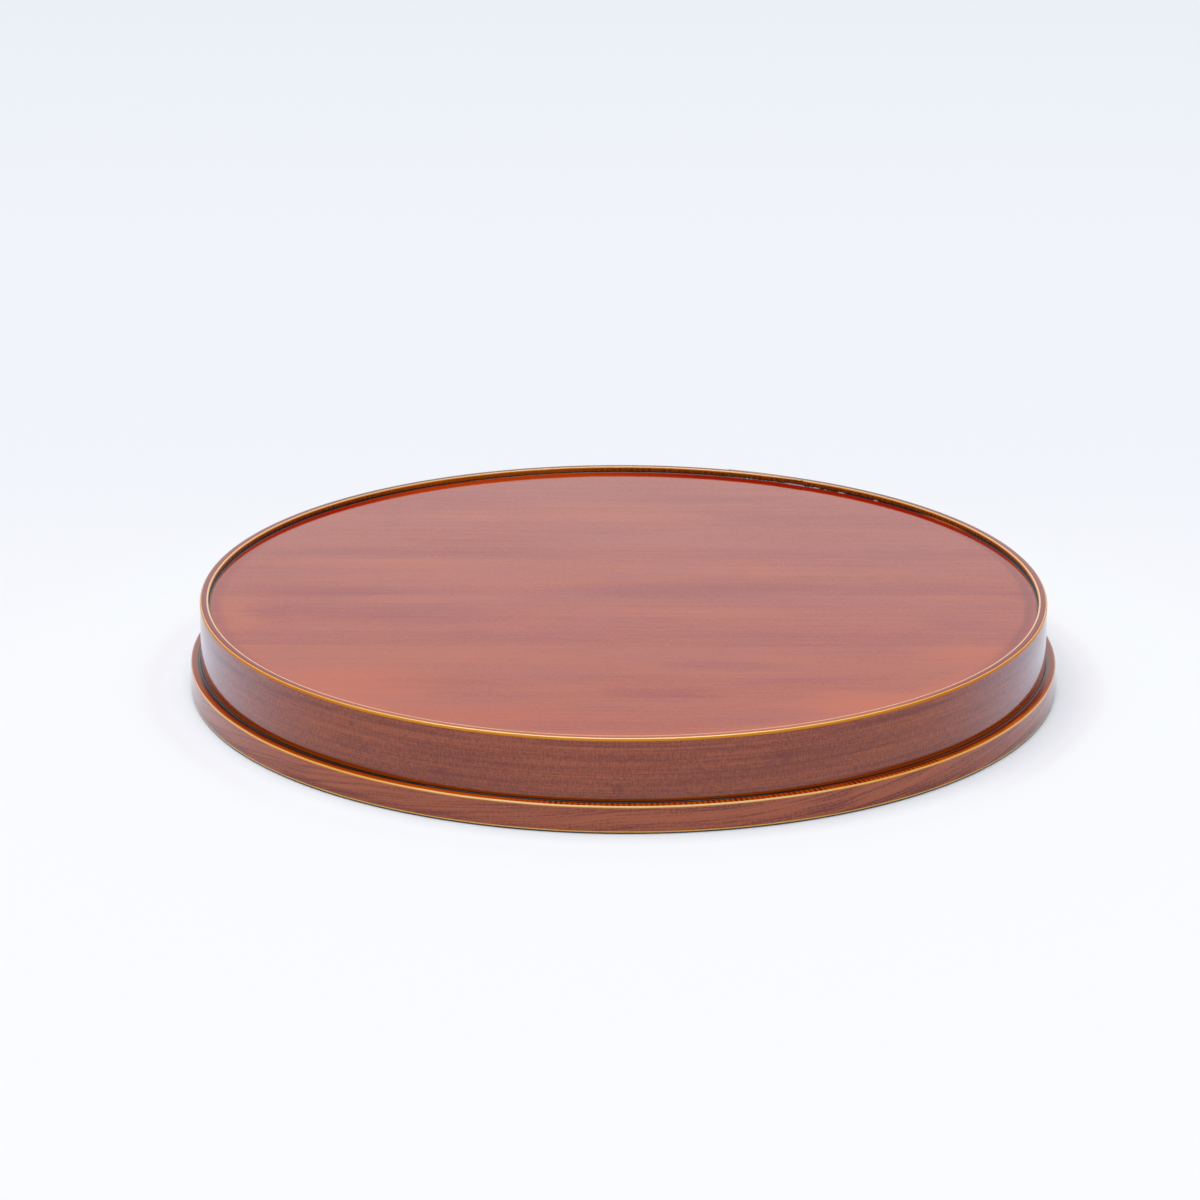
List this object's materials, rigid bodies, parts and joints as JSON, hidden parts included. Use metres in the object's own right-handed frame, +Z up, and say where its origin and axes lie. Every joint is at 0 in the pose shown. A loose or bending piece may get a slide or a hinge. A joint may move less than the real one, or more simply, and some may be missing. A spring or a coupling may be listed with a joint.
{
  "type": "bentwood tray",
  "caption": "Round shallow lacquered bentwood tray, lying rim down: a board glued into a thin bent hoop, with an outer band round the rim.",
  "frame": {"origin": "centre of the base, level with the surface the rim lies on", "axes": "+Z up out of the board's underside, as the tray lies in the picture, +X along the board's grain, +Y away from the camera"},
  "size_m": [0.3, 0.3, 0.0315],
  "materials": {
    "board_lacquer": "clear amber lacquer over straight-grained softwood, glossy",
    "hoop_lacquer": "clear amber lacquer, glossy, lighter along the edges",
    "band_lacquer": "clear amber lacquer, glossy, lighter along the edges",
    "filler": "hardened dark lacquer filler, glossy"
  },
  "bodies": {
    "root": {"side_hoop": "hoop_lacquer", "rim_band": "band_lacquer", "board_plank_back": "board_lacquer", "board_plank_middle": "board_lacquer", "board_plank_front": "board_lacquer", "underside_corner_filler": "filler", "ledge_corner_filler": "filler", "inner_corner_filler": "filler"}
  },
  "joints": []
}
